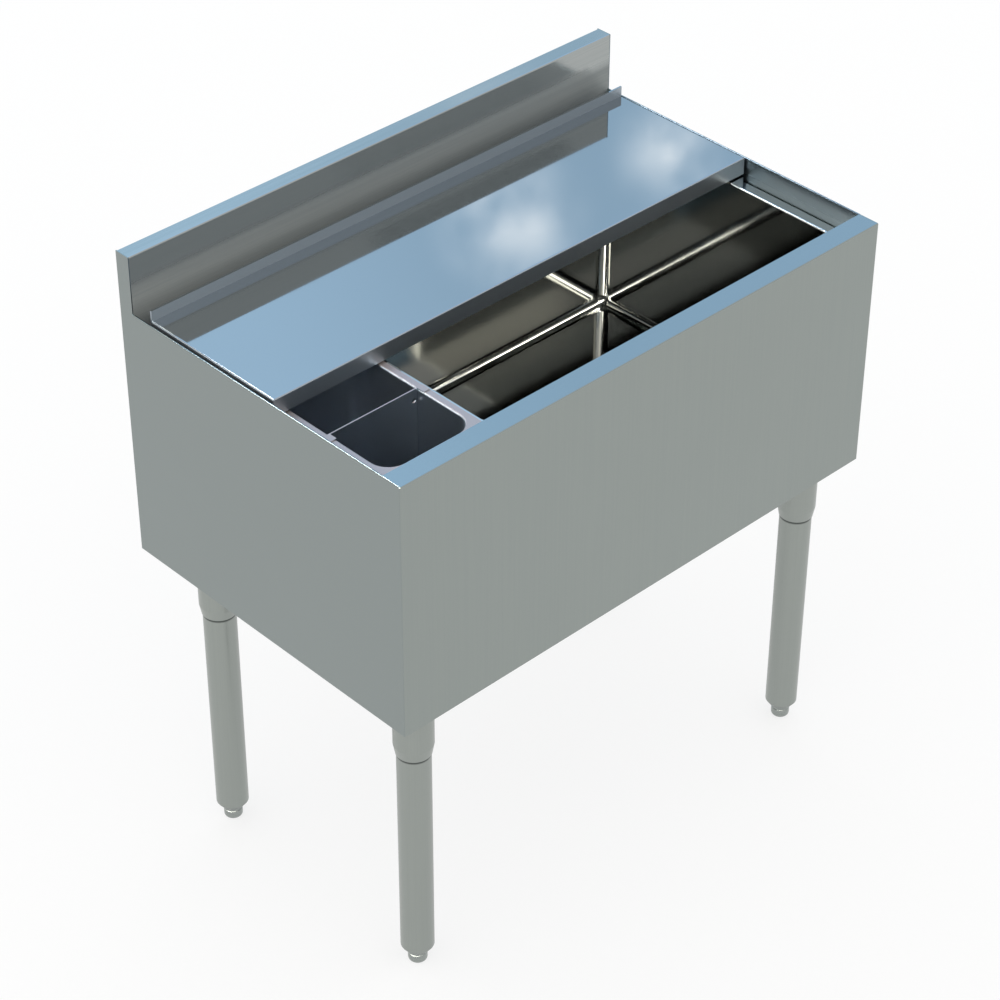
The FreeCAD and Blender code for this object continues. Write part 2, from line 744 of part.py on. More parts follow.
# Drain through the middle of the bin floor
DRAIN_X = f"(({BIN_LEFT} + {BIN_RIGHT}) / 2)"
DRAIN_Y = f"(({BIN_FRONT} + {BIN_BACK}) / 2)"
DRAIN_FACE = f"({BIN_FLOOR} + sizes.drain_flange)"
STRAINER_SEAT = f"({DRAIN_FACE} - sizes.strainer_plate)"
DRAIN_END = f"({BIN_FLOOR} - sizes.drain_length)"
GASKET_LOW = f"({BIN_UNDER} - sizes.gasket)"
TAIL_SEAT = f"({DRAIN_END} - sizes.tail_collar)"
SPIGOT_TOP = f"({BOTTOM} - sizes.tail_below_shell)"
STRAINER_RINGS = [("0", 1), ("sizes.strainer_inner_ring", 6), ("sizes.strainer_outer_ring", 12)]


def drain_opening(name, low, high, radius):
    """A hole on the drain's axis."""
    return opening(name, DRAIN_X, DRAIN_Y, low, high, radius)


def drain_body():
    seat_radius = "(sizes.strainer_radius + sizes.running_gap)"
    body = turned(
        "drain",
        [
            ("sizes.drain_bore", DRAIN_END),
            ("sizes.drain_outer", DRAIN_END),
            ("sizes.drain_outer", BIN_FLOOR),
            ("sizes.drain_flange_radius", BIN_FLOOR),
            ("sizes.drain_flange_radius", DRAIN_FACE),
            (seat_radius, DRAIN_FACE),
            (seat_radius, STRAINER_SEAT),
            ("sizes.drain_bore", STRAINER_SEAT),
        ],
    )
    place(body, DRAIN_X, DRAIN_Y, "0")
    node(body, "drain_body")


def drain_strainer():
    skirt_radius = "(sizes.drain_bore - sizes.running_gap)"
    skirt_low = f"({STRAINER_SEAT} - sizes.strainer_skirt)"
    skirt_inside = f"({skirt_radius} - sizes.strainer_wall)"
    disc = rod("strainer_disc", DRAIN_X, DRAIN_Y, STRAINER_SEAT, DRAIN_FACE, "sizes.strainer_radius")
    skirt = rod("strainer_skirt", DRAIN_X, DRAIN_Y, skirt_low, STRAINER_SEAT, skirt_radius)
    whole = fuse("strainer_whole", [disc, skirt])
    inside_low = f"({skirt_low} - sizes.overcut)"
    tools = [rod("strainer_inside", DRAIN_X, DRAIN_Y, inside_low, STRAINER_SEAT, skirt_inside)]
    for ring, (radius, count) in enumerate(STRAINER_RINGS):
        for i in range(count):
            angle = f"{360 * i / count} deg"
            x = f"{DRAIN_X} + {radius} * cos({angle})"
            y = f"{DRAIN_Y} + {radius} * sin({angle})"
            name = f"strainer_hole_{ring}_{i}"
            tools.append(opening(name, x, y, STRAINER_SEAT, DRAIN_FACE, "sizes.strainer_hole"))
    node(cut("strainer_drilled", whole, tools), "drain_strainer")


def drain_fittings():
    thread = "(sizes.drain_outer + sizes.slip_gap)"
    ring = rod("gasket_ring", DRAIN_X, DRAIN_Y, GASKET_LOW, BIN_UNDER, "sizes.gasket_radius")
    hole = drain_opening("gasket_hole", GASKET_LOW, BIN_UNDER, thread)
    node(cut("gasket_cut", ring, [hole]), "drain_gasket")

    nut_low = f"({GASKET_LOW} - sizes.locknut)"
    nut = hexagon("locknut_blank", DRAIN_X, DRAIN_Y, nut_low, GASKET_LOW, "sizes.locknut_radius")
    hole = drain_opening("locknut_hole", nut_low, GASKET_LOW, thread)
    node(cut("locknut_cut", nut, [hole]), "drain_locknut")

    top = f"({DRAIN_END} + sizes.coupling_grip)"
    low = f"({TAIL_SEAT} - sizes.coupling_base)"
    nut = hexagon("coupling_blank", DRAIN_X, DRAIN_Y, low, top, "sizes.coupling_radius")
    wide = rod("coupling_thread", DRAIN_X, DRAIN_Y, TAIL_SEAT, f"{top} + sizes.overcut", thread)
    neck = "sizes.tail_neck_radius + sizes.running_gap"
    narrow = drain_opening("coupling_mouth", low, TAIL_SEAT, neck)
    node(cut("coupling_cut", nut, [wide, narrow]), "drain_coupling_nut")

    spigot_low = f"({SPIGOT_TOP} - sizes.tail_spigot)"
    collar = "(sizes.drain_outer - sizes.slip_gap)"
    tail = turned(
        "tail",
        [
            ("sizes.tail_bore", spigot_low),
            ("sizes.tail_spigot_radius", spigot_low),
            ("sizes.tail_spigot_radius", SPIGOT_TOP),
            ("sizes.tail_neck_radius", SPIGOT_TOP),
            ("sizes.tail_neck_radius", TAIL_SEAT),
            (collar, TAIL_SEAT),
            (collar, DRAIN_END),
            ("sizes.tail_bore", DRAIN_END),
        ],
    )
    place(tail, DRAIN_X, DRAIN_Y, "0")
    node(tail, "drain_tailpiece")


# Closing sheets: bottom pan on the flanges, rear panel screwed to the side panels
def bottom_pan():
    gap = "sizes.running_gap"
    plate = block(
        "pan_plate",
        (f"({INSIDE_LEFT} + {gap})", f"({INSIDE_FRONT} + {gap})", FLANGE_TOP),
        (f"({INSIDE_RIGHT} - {gap})", f"({BACK} - {gap})", PAN_TOP),
    )
    holes = [drain_opening("pan_drain_hole", FLANGE_TOP, PAN_TOP, "sizes.pan_drain_hole")]
    for corner, (x, y) in LEGS.items():
        holes += bolt_holes(f"pan_{corner}", bolt_places(x, y), FLANGE_TOP, PAN_TOP)
    node(cut("pan_drilled", plate, holes), "bottom_pan")


def rear_panel():
    plate = block(
        "rear_plate",
        (f"({INSIDE_LEFT} + sizes.running_gap)", REAR_SEAT, PAN_TOP),
        (f"({INSIDE_RIGHT} - sizes.running_gap)", REAR_PANEL_FACE, TOP),
    )
    places = LEFT_SCREWS + RIGHT_SCREWS
    node(cut("rear_drilled", plate, rear_screw_holes("rear", places)), "rear_panel")
    tip = f"({REAR_PANEL_FACE} - sizes.rear_screw_length)"
    head_end = f"({REAR_PANEL_FACE} + sizes.rear_screw_head)"
    screws = []
    for i, (x, z) in enumerate(places):
        shank = rod_along_y(f"rear_shank_{i}", x, z, tip, REAR_PANEL_FACE, "sizes.rear_screw_radius")
        head = rod_along_y(
            f"rear_head_{i}", x, z, REAR_PANEL_FACE, head_end, "sizes.rear_screw_head_radius"
        )
        screws.append(fuse(f"rear_screw_{i}", [shank, head]))
    node(group("rear_screw_set", screws), "rear_panel_screws")


# Foam boards in the hollow walls
def insulation():
    liner_left = f"({BIN_LEFT} - sizes.sheet)"
    liner_right = f"({BIN_RIGHT} + sizes.sheet)"
    liner_front = f"({BIN_FRONT} - sizes.sheet)"
    liner_back = f"({BIN_BACK} + sizes.sheet)"
    well_left = f"({WELL_LEFT} - sizes.sheet)"
    well_right = f"({WELL_RIGHT} + sizes.sheet)"
    well_front = f"({WELL_FRONT} - sizes.sheet)"
    well_back = f"({WELL_BACK} + sizes.sheet)"
    well_under = f"({WELL_FLOOR} - sizes.sheet)"
    channel_edge = f"({LEGS['front_right'][0]} - sizes.channel_width / 2 - sizes.running_gap)"
    boards = {
        "front": ((INSIDE_LEFT, INSIDE_FRONT, CHANNEL_TOP), (INSIDE_RIGHT, liner_front, UNDER_RIM)),
        "left": ((INSIDE_LEFT, liner_front, CHANNEL_TOP), (well_left, liner_back, UNDER_RIM)),
        "right": ((liner_right, liner_front, CHANNEL_TOP), (INSIDE_RIGHT, liner_back, UNDER_RIM)),
        "partition": ((well_right, well_front, well_under), (liner_left, well_back, UNDER_RIM)),
        "well_base": ((well_left, liner_front, CHANNEL_TOP), (liner_left, liner_back, well_under)),
        "well_back": ((well_left, well_back, well_under), (liner_left, liner_back, UNDER_RIM)),
    }
    for name, (low, high) in boards.items():
        node(block(f"foam_{name}", low, high), f"insulation_{name}")
    rear_corner = (INSIDE_RIGHT, REAR_FLANGE_FACE, UNDER_RIM)
    rear = block("foam_rear", (INSIDE_LEFT, liner_back, CHANNEL_TOP), rear_corner)
    screw_holes = rear_screw_holes("foam_rear", LEFT_SCREWS + RIGHT_SCREWS)
    node(cut("foam_rear_cut", rear, screw_holes), "insulation_rear")
    floor_corner = (channel_edge, liner_back, BIN_UNDER)
    floor = block("foam_floor", (liner_left, liner_front, PAN_TOP), floor_corner)
    hole = drain_opening("foam_hole", PAN_TOP, BIN_UNDER, "sizes.foam_drain_hole")
    node(cut("foam_floor_cut", floor, [hole]), "insulation_floor")


front_apron()
side_panel("left_side_panel", LEFT, 1, LEFT_SCREWS)
side_panel("right_side_panel", RIGHT, -1, RIGHT_SCREWS)
backsplash()
bin_liner()
bottle_well()
well_divider()
sliding_cover()
for corner, (x, y) in LEGS.items():
    leg_socket(corner, x, y)
    leg_tube(corner, x, y)
    foot_insert(corner, x, y)
    bullet_foot(corner, x, y)
leg_fasteners()
leg_channel("left")
leg_channel("right")
drain_body()
drain_strainer()
drain_fittings()
bottom_pan()
rear_panel()
insulation()

doc.recompute()
for item in doc.Objects:
    if "Invalid" in item.State or "Error" in item.State:
        raise RuntimeError(f"{item.Label} failed: {item.State}")
for piece in nodes:
    if piece.Shape.isNull() or not piece.Shape.isValid():
        raise RuntimeError(f"{piece.Label} has no valid shape")

os.makedirs("parts", exist_ok=True)
for piece in nodes:
    piece.Shape.exportStep(f"parts/{piece.Label}.step")
    print(f"{piece.Label}: {len(piece.Shape.Solids)} solid(s), {piece.Shape.Volume / 1000:.1f} cm3")
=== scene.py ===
# %% [markdown]
# # An underbar ice bin in stainless steel
# The real object is a bent and welded cabinet on four legs: an insulated ice compartment, a bottle
# well at its left end, a cover that slides over the rear half, and a low splash along the back.
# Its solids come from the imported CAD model, so this script dresses them and adds what is too fine
# for CAD. A model made by hand would also work, but every size would have to be fitted again.

# %% Load the solids and keep their box
import json
import math

import bpy
from mathutils import Matrix, Vector


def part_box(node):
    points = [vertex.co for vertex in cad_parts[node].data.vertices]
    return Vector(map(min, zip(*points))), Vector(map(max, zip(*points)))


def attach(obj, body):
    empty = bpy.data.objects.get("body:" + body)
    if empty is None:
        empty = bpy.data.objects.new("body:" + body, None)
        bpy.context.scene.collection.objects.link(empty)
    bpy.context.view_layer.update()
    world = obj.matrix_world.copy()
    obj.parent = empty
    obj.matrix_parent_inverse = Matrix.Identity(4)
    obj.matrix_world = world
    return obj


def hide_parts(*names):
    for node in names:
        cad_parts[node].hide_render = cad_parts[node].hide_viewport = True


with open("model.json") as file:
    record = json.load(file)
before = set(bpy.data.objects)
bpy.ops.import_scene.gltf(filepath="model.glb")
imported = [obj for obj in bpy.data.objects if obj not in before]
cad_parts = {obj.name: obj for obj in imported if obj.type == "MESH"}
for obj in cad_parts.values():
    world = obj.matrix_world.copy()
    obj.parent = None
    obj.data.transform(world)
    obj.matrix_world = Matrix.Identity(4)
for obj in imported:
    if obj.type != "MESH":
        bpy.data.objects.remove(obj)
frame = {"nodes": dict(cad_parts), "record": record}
nodes = frame["nodes"]
scene = bpy.context.scene
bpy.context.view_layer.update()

# %% [markdown]
# A few helpers do the small repeated jobs. Colours are written as sRGB hex codes, as a paint chart
# gives them, and Blender's shaders want linear light. A shader tree could be wired by hand in long
# lists of calls, but one function that adds a node with its settings and links keeps it readable.

# %% Colour and node helpers
MM = 0.001


def linear(code):
    """sRGB hex code to linear colour with full alpha."""
    parts = [int(code[i:i + 2], 16) / 255 for i in (1, 3, 5)]
    return (*[c / 12.92 if c <= 0.04045 else ((c + 0.055) / 1.055) ** 2.4 for c in parts], 1)


def add(tree, kind, inputs=(), **settings):
    """Add a node. Inputs go by name or in order: a plain value, an output, or a node's first one."""
    new = tree.nodes.new("ShaderNode" + kind)
    for name, value in settings.items():
        setattr(new, name, value)
    for name, value in inputs.items() if isinstance(inputs, dict) else enumerate(inputs):
        if isinstance(value, bpy.types.Node):
            value = value.outputs[0]
        if isinstance(value, bpy.types.NodeSocket):
            tree.links.new(value, new.inputs[name])
        else:
            new.inputs[name].default_value = value
    return new


def begin(name, **constants):
    """A new material: itself, its tree, its shader with these constants, and the place in metres."""
    material = bpy.data.materials.new(name)
    material.use_nodes = True
    tree = material.node_tree
    shader = tree.nodes["Principled BSDF"]
    for socket, value in constants.items():
        shader.inputs[socket.replace("_", " ").title()].default_value = value
    place = add(tree, "TexCoord").outputs["Object"]
    return material, tree, shader, place


def per_mm(*sizes):
    """Texture scale for a pattern of these sizes in millimetres."""
    return tuple(1 / (size * MM) for size in sizes)


print("a tenth of full light is", round(linear("#595959")[0], 3))

# %% [markdown]
# Every finish below uses its patterns in the same way: one tints the colour, one sets how sharp the
# mirroring is, and one may lift the surface. So this wiring is written once. A noise rarely leaves
# the middle of its range, so the middle is what counts as from weak to strong. A map range node
# stretches a pattern: its inputs are the pattern, its start and end, and what these turn into. The
# soft kind eases in and out, so that no edge shows where the pattern runs past its ends.

# %% Pattern wiring
WEAK, FAINT, STRONG = 0.3, 0.36, 0.7
SOFT = {"interpolation_type": "SMOOTHSTEP"}
# A mix node has sockets for each kind of data. These are the places of the colours and the vectors.
COLOUR_A, COLOUR_B, COLOUR_OUT = 6, 7, 2
VECTOR_A, VECTOR_B, VECTOR_OUT = 4, 5, 1


def wear(tree, shader, tone, dark, light, gloss, sharp, dull, relief=None, depth=0.0):
    """Tone goes from dark to light, gloss from sharp to dull, and relief is depth mm high."""
    share = add(tree, "MapRange", [tone, WEAK, STRONG, 0, 1], **SOFT)
    tint = add(tree, "Mix", {0: share, COLOUR_A: linear(dark), COLOUR_B: linear(light)},
               data_type="RGBA")
    haze = add(tree, "MapRange", [gloss, WEAK, STRONG, sharp, dull], **SOFT)
    tree.links.new(tint.outputs[COLOUR_OUT], shader.inputs["Base Color"])
    tree.links.new(haze.outputs[0], shader.inputs["Roughness"])
    if relief is not None:
        bump = add(tree, "Bump", {"Strength": 1.0, "Distance": depth * MM, "Height": relief})
        tree.links.new(bump.outputs[0], shader.inputs["Normal"])


def facing(tree):
    """How far the surface faces along X, Y and Z, either way, from 0 to 1."""
    normal = add(tree, "NewGeometry").outputs["Normal"]
    either = add(tree, "VectorMath", [normal], operation="ABSOLUTE")
    return add(tree, "SeparateXYZ", [either]).outputs


print("patterns count from", WEAK, "to", STRONG)

# %% [markdown]
# The shell is stainless sheet with a brushed finish: a belt leaves fine scratches that run up and
# down the panels. The real scratches are about 0.1 mm wide, too fine to show at this size, so they
# are drawn 2 mm wide. They could be an image, but a noise stretched along Z needs no file and runs
# the same way on the front and on both sides. How a face lies sets the rest: the flat tops are made
# glossier, the ends of the cabinet are painted a shade darker than its front, and inward faces are
# painted darker still, both as painted shade.

# %% Brushed stainless of the shell
shell_steel, tree, shader, place = begin("stainless_brushed_shell", metallic=1.0)
# The eye gets a soft grey sheen with faint upright streaks and a few wiped patches.
FRONT_TONES, END_SHADE_TONE, WIPED = (0.61, 0.63), 0.555, (0.57, 0.66)
INWARD, OUTWARD = -0.1, -0.05
stretch = add(tree, "Mapping", {"Vector": place, "Scale": per_mm(2, 2, 180)})
grain = add(tree, "TexNoise", {"Vector": stretch, "Scale": 1.0, "Detail": 4.0})
streaks = add(tree, "MapRange", [grain, WEAK, STRONG, *FRONT_TONES], **SOFT)
side = facing(tree)
# Painted shade: the cabinet's ends, which face along X, are set darker than its front.
ends = add(tree, "MapRange", [side["X"], 0, 1, STRONG, END_SHADE_TONE], **SOFT)
# A face looks outward where its level normal points away from the middle of the cabinet.
normal = add(tree, "NewGeometry").outputs["Normal"]
level = add(tree, "VectorMath", [normal, (1, 1, 0)], operation="MULTIPLY")
outward = add(tree, "VectorMath", [level, place], operation="DOT_PRODUCT").outputs["Value"]
# Painted shade: faces that look inward take the dark colour.
inward_shade_mask = add(tree, "MapRange", [outward, INWARD, OUTWARD, WEAK, STRONG], **SOFT)
brushed = add(tree, "Math", [streaks, ends], operation="MINIMUM")
tone = add(tree, "Math", [brushed, inward_shade_mask], operation="MINIMUM")
wipe = add(tree, "TexNoise", {"Vector": place, "Scale": per_mm(130)[0], "Detail": 3.0})
smears = add(tree, "MapRange", [wipe, WEAK, STRONG, *WIPED], **SOFT)
upright = add(tree, "MapRange", [side["Z"], 0, 1, 1, 0], **SOFT)
gloss = add(tree, "Math", [smears, upright], operation="MULTIPLY")
wear(tree, shader, tone, "#6A767E", "#959B97", gloss, 0.1, 0.36, grain, 0.004)
print(shell_steel.name, "streaks 2 mm wide and 180 mm long")

# %% [markdown]
# The cover is the same steel, polished until it mirrors what stands above it. What makes a polished
# sheet look real is not its colour but what it mirrors, plus a light haze of wiping marks. A perfect
# mirror would look like glass, so the roughness wanders a little. The hems look duller, probably as
# the wheel polishes the flat top only, so the steepness of the surface sets the roughness too. It
# also tints the hems a little bluer, which is a painted reflection.

# %% Polished stainless of the sliding cover
deck_steel, tree, shader, place = begin("stainless_polished_deck", metallic=1.0)
# The eye gets a clear mirror with a slight bloom, and hair lines that run along the sheet.
FLAT, UPRIGHT = 0.9, 0.4
stretch = add(tree, "Mapping", {"Vector": place, "Scale": per_mm(240, 1.8, 1.8)})
hair = add(tree, "TexNoise", {"Vector": stretch, "Scale": 1.0, "Detail": 3.0})
bloom = add(tree, "TexNoise", {"Vector": place, "Scale": per_mm(90)[0], "Detail": 4.0})
lines = add(tree, "MapRange", [hair, WEAK, STRONG, WEAK, FAINT], **SOFT)
haze = add(tree, "MapRange", [bloom, WEAK, STRONG, WEAK, FAINT], **SOFT)
steep = add(tree, "MapRange", [facing(tree)["Z"], FLAT, UPRIGHT, WEAK, STRONG], **SOFT)
# Painted reflection: upright faces, the hems, take the bluer colour.
tone = add(tree, "Math", [lines, steep], operation="MAXIMUM")
gloss = add(tree, "Math", [haze, steep], operation="MAXIMUM")
wear(tree, shader, tone, "#9DA2A5", "#9BA4AC", gloss, 0.04, 0.4, hair, 0.002)
print(deck_steel.name, "wiping marks about 90 mm across")

# %% [markdown]
# The splash is polished too, so its upper part mirrors the cover, and past the cover's end the pale
# room. Lower down it has only a sheen, probably because the buffing wheel can't reach behind the
# cover's lip, and the belt's scratches stay. They run along the face, smear a mirror image up and
# down, and keep it sharp sideways. The shader calls this anisotropic, and its tangent gives the way
# of the smear.

# %% Polished stainless of the splash
splash_steel, tree, shader, place = begin("stainless_polished_splash", metallic=1.0,
                                          anisotropic=0.95)
# The eye gets a clear mirror above and a plain grey sheen below, under fine lines from end to end.
WHEEL_STARTS, WHEEL_FULL = 0.775, 0.82
stretch = add(tree, "Mapping", {"Vector": place, "Scale": per_mm(260, 1.5, 1.5)})
hair = add(tree, "TexNoise", {"Vector": stretch, "Scale": 1.0, "Detail": 3.0})
height = add(tree, "SeparateXYZ", [place]).outputs["Z"]
belt = add(tree, "MapRange", [height, WHEEL_STARTS, WHEEL_FULL, STRONG, WEAK], **SOFT)
wear(tree, shader, hair, "#9DA2A1", "#A3A7A6", belt, 0.1, 0.78)
along = add(tree, "Tangent", direction_type="RADIAL", axis="X")
tree.links.new(along.outputs[0], shader.inputs["Tangent"])
print(splash_steel.name, "lines drawn 1.5 mm wide, buffed from", WHEEL_STARTS, "m up")

# %% [markdown]
# The ice compartment is polished too, so that ice slides and nothing sticks, and its corners are
# round coves. Inside, the steel mirrors only steel, and each mirroring darkens it, so it looks far
# darker than the shell although the metal is the same. Two tones are set to suit the view: the coves
# along the front and back walls are painted paler, a painted highlight, and are less sharp than the
# sheet, and the floor is painted a shade darker than the walls, a painted shade. Two tones are set
# to suit the view, and why they differ is not known: the coves along the front and back walls are
# paler and less sharp than the sheet, and the floor is a shade darker than the walls. The coves
# could be marked by hand, but the normal finds them: only there is its part along Y neither small
# nor nearly 1.

# %% Coves of the ice compartment
liner_steel, tree, shader, place = begin("stainless_polished_liner", metallic=1.0)
SHEET_ENDS, WALL_STARTS, RIM_STARTS = (0.1, 0.3), (0.95, 0.995), (0.7, 0.73)
back = facing(tree)["Y"]
leaves_sheet = add(tree, "MapRange", [back, *SHEET_ENDS, WEAK, STRONG], **SOFT)
meets_wall = add(tree, "MapRange", [back, *WALL_STARTS, STRONG, WEAK], **SOFT)
slant = add(tree, "Math", [leaves_sheet, meets_wall], operation="MINIMUM")
height = add(tree, "SeparateXYZ", [place]).outputs["Z"]
below_rim = add(tree, "MapRange", [height, *RIM_STARTS, STRONG, WEAK], **SOFT)
cove_highlight_and_haze = add(tree, "Math", [slant, below_rim], operation="MINIMUM")
print("the coves' tone fades out from", RIM_STARTS[0], "m up")

# %% Polished stainless of the ice compartment
# The eye gets a deep olive grey mirror, with bright lines only along the round coves, partly a
# painted highlight.
FLOOR_ENDS, FLOOR_SHADE_TONE, WALL_TONE = (0.475, 0.49), 0.42, 0.5
scour = add(tree, "TexNoise", {"Vector": place, "Scale": per_mm(3)[0], "Detail": 5.0})
patch = add(tree, "TexNoise", {"Vector": place, "Scale": per_mm(110)[0], "Detail": 2.0})
level = add(tree, "MapRange", [height, *FLOOR_ENDS, FLOOR_SHADE_TONE, WALL_TONE], **SOFT)
haze = add(tree, "MapRange", [patch, WEAK, STRONG, WEAK, FAINT], **SOFT)
# Painted highlight and shade: the coves take the pale colour, and the floor a darker tone than the
# walls.
tone = add(tree, "Math", [level, cove_highlight_and_haze], operation="MAXIMUM")
gloss = add(tree, "Math", [haze, cove_highlight_and_haze], operation="MAXIMUM")
wear(tree, shader, tone, "#5C5F5C", "#EAEAE6", gloss, 0.06, 0.13, scour, 0.004)
print(liner_steel.name, "scouring marks drawn 3 mm wide")

# %% [markdown]
# The bottle well and its divider are drawn and cut from satin sheet. Drawing stretches the steel
# and leaves a fine even grain. The flat rim looks milky beside the polished deck, probably because
# it is left as it came from the press, so the surface is made rougher where it faces up. Facing also
# sets the tint: the rim takes a warm grey and the walls a bluer one, both painted reflection tints.

# %% Satin drawn stainless of the bottle well
well_steel, tree, shader, place = begin("stainless_satin_drawn", metallic=1.0)
# The eye gets a pale, milky rim, and a dark inside where the walls mirror each other.
FACES_UP = (0.7, 0.95)
speck = add(tree, "TexNoise", {"Vector": place, "Scale": per_mm(1.6)[0], "Detail": 3.0})
haze = add(tree, "MapRange", [speck, WEAK, STRONG, WEAK, FAINT], **SOFT)
rim = add(tree, "MapRange", [facing(tree)["Z"], *FACES_UP, WEAK, STRONG], **SOFT)
skin = add(tree, "Math", [haze, rim], operation="MAXIMUM")
# Painted reflection: faces that look up take the warm grey, and the walls take the bluer one.
wear(tree, shader, skin, "#B7C1CB", "#A49A98", skin, 0.28, 0.52, speck, 0.004)
print(well_steel.name, "grain drawn 1.6 mm wide")

# %% [markdown]
# The legs are welded stainless tube, polished lengthwise on a belt after drawing, and their sockets
# are pressed and bolted under the cabinet. Lines along Z would look the same as on the shell, so
# these are finer and longer. A dark line is painted on the tube right under the socket, a painted
# shadow of the socket's end.

# %% Belt-polished tube of the legs and sockets
leg_steel, tree, shader, place = begin("stainless_belt_polished_tube", metallic=1.0)
# The eye gets a soft upright sheen that follows the round of the tube, and a painted shadow line at
# its top.
SHADOW_LINE_HEIGHT, TUBE_TONES = 5 * MM, (0.65, 0.69)
stretch = add(tree, "Mapping", {"Vector": place, "Scale": per_mm(1.2, 1.2, 220)})
line = add(tree, "TexNoise", {"Vector": stretch, "Scale": 1.0, "Detail": 3.0})
lines = add(tree, "MapRange", [line, WEAK, STRONG, *TUBE_TONES], **SOFT)
height = add(tree, "SeparateXYZ", [place]).outputs["Z"]
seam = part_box("leg_socket_front_left")[0].z
# Painted shadow: the tube is darker in a thin band right under the socket's end.
below = add(tree, "MapRange", [height, seam - SHADOW_LINE_HEIGHT, seam - MM, STRONG, WEAK], **SOFT)
above = add(tree, "MapRange", [height, seam, seam + MM, WEAK, STRONG], **SOFT)
outside_shadow_line = add(tree, "Math", [below, above], operation="MAXIMUM")
tone = add(tree, "Math", [lines, outside_shadow_line], operation="MINIMUM")
wear(tree, shader, tone, "#4E5250", "#979C98", line, 0.29, 0.36, line, 0.004)
print(leg_steel.name, "lines drawn 1.2 mm wide, seam at", round(seam, 3), "m")

# %% [markdown]
# The feet and the drain are turned on a lathe, so their marks run round them. Rings could be
# modelled, but a wave texture that counts height in rings gives the same glint.

# %% Turned stainless of the feet and drain
turned_steel, tree, shader, place = begin("stainless_turned", metallic=1.0)
# The eye gets fine rings that catch the light as a narrow band.
wave = add(tree, "TexWave", {"Vector": place, "Scale": per_mm(1.5)[0] / math.tau,
                             "Distortion": 0.6, "Detail": 2.0}, bands_direction="Z")
rings = wave.outputs[1]
wear(tree, shader, rings, "#8F9592", "#9DA29F", rings, 0.29, 0.36)
print(turned_steel.name, "rings 1.5 mm apart")

# %% [markdown]
# Screws, bolts and nuts are taken to be steel with a thin zinc coat, which is duller and a little
# bluer than stainless. Such a coat is not even, so the colour wanders from head to head.

# %% Zinc-plated steel of the fasteners
zinc_steel, tree, shader, place = begin("steel_zinc_plated", metallic=1.0)
# The eye gets a cool, slightly cloudy grey.
cloud = add(tree, "TexNoise", {"Vector": place, "Scale": per_mm(7)[0], "Detail": 4.0})
wear(tree, shader, cloud, "#8F9499", "#B1B5B8", cloud, 0.29, 0.42)
print(zinc_steel.name, "clouds 7 mm across")

# %% [markdown]
# The rear panel, the bottom pan and the leg channels are out of sight, so they are taken to be
# hot-dip galvanised sheet. Zinc that sets slowly grows flat crystals, the spangle, each a little
# lighter or darker. A cell texture makes just such plates, one tone to a cell. Its cells have
# straight edges, so the place is bent a little by a noise before it is read.

# %% Galvanised sheet of the back and bottom
galvanised_steel, tree, shader, place = begin("steel_hot_dip_galvanised", metallic=1.0)
# The eye gets a dull patchwork of crystals about 14 mm across.
BEND_SHARE = 0.004
warp = add(tree, "TexNoise", {"Vector": place, "Scale": per_mm(9)[0], "Detail": 2.0})
bent = add(tree, "Mix", {0: BEND_SHARE, VECTOR_A: place, VECTOR_B: warp.outputs["Color"]},
           data_type="VECTOR")
cells = add(tree, "TexVoronoi", {"Vector": bent.outputs[VECTOR_OUT], "Scale": per_mm(14)[0]})
crystal = add(tree, "SeparateColor", [cells.outputs["Color"]]).outputs
wear(tree, shader, crystal[0], "#9DA2A6", "#A8ADB0", crystal[1], 0.38, 0.5)
print(galvanised_steel.name, "spangle 14 mm across")

# %% [markdown]
# Four small finishes are left: the nylon plugs in the leg ends, the brass drain fittings, the
# rubber gasket and the poured foam in the walls. Foam and gasket show only if the cabinet is taken
# apart, but the part is reusable, so they get their own look as well.

# %% Moulded nylon of the foot inserts
insert_nylon, tree, shader, place = begin("nylon_moulded_grey")
# The eye gets an even mid grey with the faint grain of a moulding.
speck = add(tree, "TexNoise", {"Vector": place, "Scale": per_mm(2)[0], "Detail": 2.0})
wear(tree, shader, speck, "#7E8381", "#878C8A", speck, 0.4, 0.5, speck, 0.02)
print(insert_nylon.name, "grain 2 mm")

# %% Cast and turned brass of the drain fittings
drain_brass, tree, shader, place = begin("brass_cast_turned", metallic=1.0)
# The eye gets a dull yellow with brown tarnish in patches.
tarnish = add(tree, "TexNoise", {"Vector": place, "Scale": per_mm(12)[0], "Detail": 5.0})
wear(tree, shader, tarnish, "#C6A85E", "#87693A", tarnish, 0.29, 0.46)
print(drain_brass.name, "tarnish 12 mm")

# %% Moulded rubber of the gasket
gasket_rubber, tree, shader, place = begin("rubber_moulded_black")
# The eye gets a flat black with a little dust on it.
dust = add(tree, "TexNoise", {"Vector": place, "Scale": per_mm(5)[0], "Detail": 4.0})
wear(tree, shader, dust, "#141414", "#2A2A29", dust, 0.6, 0.8)
print(gasket_rubber.name, "dust 5 mm")

# %% Poured polyurethane foam of the walls
wall_foam, tree, shader, place = begin("polyurethane_foam_poured")
# The eye gets a cream crumb of small closed cells, drawn 3 mm wide so that they show.
cells = add(tree, "TexVoronoi", {"Vector": place, "Scale": per_mm(3)[0]})
stain = add(tree, "TexNoise", {"Vector": place, "Scale": per_mm(60)[0], "Detail": 3.0})
wear(tree, shader, stain, "#E3D4A6", "#CDB981", cells, 0.8, 0.95, cells, 0.5)
print(wall_foam.name, "cells 3 mm")

# %% [markdown]
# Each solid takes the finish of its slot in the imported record, so a part that is added later in the
# CAD model finds its finish by itself. Naming every solid here would also work, but it is easy to
# forget one. The splash shares its slot with the cover, and only its grinding differs.

